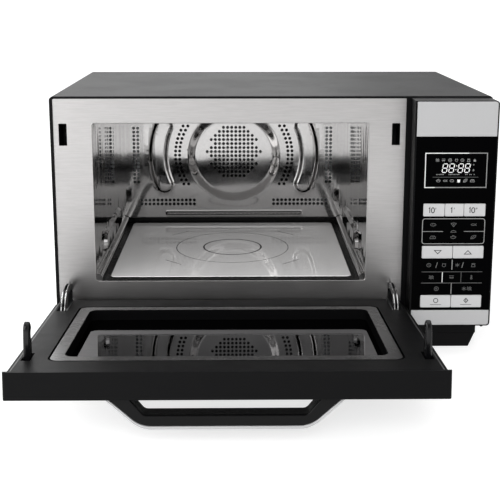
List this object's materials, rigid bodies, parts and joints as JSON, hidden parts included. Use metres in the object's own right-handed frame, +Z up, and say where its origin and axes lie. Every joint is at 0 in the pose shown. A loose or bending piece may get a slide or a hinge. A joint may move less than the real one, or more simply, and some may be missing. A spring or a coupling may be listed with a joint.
{
  "type": "combination microwave oven",
  "caption": "Countertop combination microwave oven with a drop-down door, polished cavity, convection fan, grill, flat ceramic floor and push-key panel.",
  "frame": {"origin": "middle of the footprint with the door open, on the surface that the feet stand on", "axes": "+X to the right seen from the front, +Y to the back, +Z up; the door opens towards -Y"},
  "size_m": [0.513, 0.6372, 0.306],
  "materials": {
    "cabinet_paint": "fine textured dark paint",
    "zinc_steel": "zinc plated sheet",
    "frame_paint": "satin light grey paint",
    "cavity_steel": "polished stainless sheet",
    "black_plastic": "satin black moulding",
    "gloss_black": "high gloss black",
    "silver_plastic": "metallic silver lacquer",
    "key_plastic": "satin silver",
    "ceramic": "glazed grey ceramic",
    "seal_rubber": "silicone",
    "black_glass": "tinted black glass",
    "window_mirror": "half mirror coating",
    "choke_plastic": "high gloss",
    "white_plastic": "plain",
    "quartz": "frosted quartz",
    "board_green": "circuit board",
    "dark_metal": "plain",
    "aluminium": "plain",
    "screw_steel": "plated"
  },
  "bodies": {
    "root": {"outer_cabinet": "cabinet_paint", "rear_panel": "zinc_steel", "base_plate": "dark_metal", "front_feet": "black_plastic", "rear_feet": "black_plastic", "cabinet_screws": "screw_steel", "rear_motor_cover": "zinc_steel", "cord_gland": "black_plastic", "front_frame": "frame_paint", "cavity_shell": "cavity_steel", "cavity_back_wall": "cavity_steel", "cavity_floor": "zinc_steel", "ceramic_floor_plate": "ceramic", "floor_seal": "seal_rubber", "grill_reflector": "aluminium", "grill_elements": "quartz", "lamp_housing": "zinc_steel", "oven_lamp": "quartz", "waveguide": "zinc_steel", "magnetron": "aluminium", "antenna_motor": "zinc_steel", "inverter_unit": "board_green", "cooling_fan_duct": "black_plastic", "cooling_fan_motor": "dark_metal", "power_board": "board_green", "convection_housing": "zinc_steel", "ring_heater": "dark_metal", "convection_motor": "zinc_steel", "latch_brackets": "zinc_steel", "interlock_switches": "black_plastic", "hinge_brackets": "zinc_steel", "hinge_pins": "screw_steel", "panel_housing": "black_plastic", "panel_overlay": "gloss_black", "panel_trims": "silver_plastic", "display_module": "gloss_black", "key_board": "board_green"},
    "door": {"door_outer_frame": "black_plastic", "door_inner_border": "black_plastic", "door_front_glass": "black_glass", "door_steel_frame": "dark_metal", "choke_cover": "choke_plastic", "inner_window": "window_mirror", "handle_bar": "black_plastic", "handle_trim": "silver_plastic", "door_screws": "screw_steel", "door_hinge_arms": "zinc_steel"},
    "latch_hook_left": {"latch_hook_left": "dark_metal"},
    "latch_hook_right": {"latch_hook_right": "dark_metal"},
    "convection_fan": {"convection_fan": "aluminium"},
    "cooling_fan": {"cooling_fan": "white_plastic"},
    "stirrer_antenna": {"stirrer_antenna": "aluminium"},
    "key_ten_minutes": {"key_ten_minutes": "key_plastic"},
    "key_one_minute": {"key_one_minute": "key_plastic"},
    "key_ten_seconds": {"key_ten_seconds": "key_plastic"},
    "key_down": {"key_down": "key_plastic"},
    "key_up": {"key_up": "key_plastic"},
    "key_stop": {"key_stop": "key_plastic"},
    "key_start": {"key_start": "key_plastic"}
  },
  "joints": [
    {"name": "door_hinge", "type": "hinge", "parent": "root", "child": "door", "pos_m": [-0.0485, -0.06421, 0.0498], "axis": [-1, 0, 0], "range_deg": [0, 85.9]},
    {"name": "latch_left_lift", "type": "hinge", "parent": "door", "child": "latch_hook_left", "pos_m": [-0.2419, -0.26954, 0.06937], "axis": [1, 0, 0], "range_deg": [0, 7], "stiffness_Nm_per_rad": 0.05, "springref_deg": -8.59},
    {"name": "latch_right_lift", "type": "hinge", "parent": "door", "child": "latch_hook_right", "pos_m": [0.1449, -0.26954, 0.06937], "axis": [1, 0, 0], "range_deg": [0, 7], "stiffness_Nm_per_rad": 0.05, "springref_deg": -8.59},
    {"name": "convection_fan_spin", "type": "hinge", "parent": "root", "child": "convection_fan", "pos_m": [-0.0456, 0.28363, 0.1852], "axis": [0, 1, 0], "continuous": true},
    {"name": "cooling_fan_spin", "type": "hinge", "parent": "root", "child": "cooling_fan", "pos_m": [0.1945, 0.23663, 0.2043], "axis": [0, 1, 0], "continuous": true},
    {"name": "stirrer_antenna_spin", "type": "hinge", "parent": "root", "child": "stirrer_antenna", "pos_m": [-0.0477, 0.10463, 0.0362], "axis": [0, 0, 1], "continuous": true},
    {"name": "key_ten_minutes_press", "type": "slide", "parent": "root", "child": "key_ten_minutes", "axis": [0, 1, 0], "range_m": [0, 0.0008], "stiffness_N_per_m": 400, "springref_m": -0.0005},
    {"name": "key_one_minute_press", "type": "slide", "parent": "root", "child": "key_one_minute", "axis": [0, 1, 0], "range_m": [0, 0.0008], "stiffness_N_per_m": 400, "springref_m": -0.0005},
    {"name": "key_ten_seconds_press", "type": "slide", "parent": "root", "child": "key_ten_seconds", "axis": [0, 1, 0], "range_m": [0, 0.0008], "stiffness_N_per_m": 400, "springref_m": -0.0005},
    {"name": "key_down_press", "type": "slide", "parent": "root", "child": "key_down", "axis": [0, 1, 0], "range_m": [0, 0.0008], "stiffness_N_per_m": 400, "springref_m": -0.0005},
    {"name": "key_up_press", "type": "slide", "parent": "root", "child": "key_up", "axis": [0, 1, 0], "range_m": [0, 0.0008], "stiffness_N_per_m": 400, "springref_m": -0.0005},
    {"name": "key_stop_press", "type": "slide", "parent": "root", "child": "key_stop", "axis": [0, 1, 0], "range_m": [0, 0.0008], "stiffness_N_per_m": 400, "springref_m": -0.0005},
    {"name": "key_start_press", "type": "slide", "parent": "root", "child": "key_start", "axis": [0, 1, 0], "range_m": [0, 0.0008], "stiffness_N_per_m": 400, "springref_m": -0.0005}
  ]
}
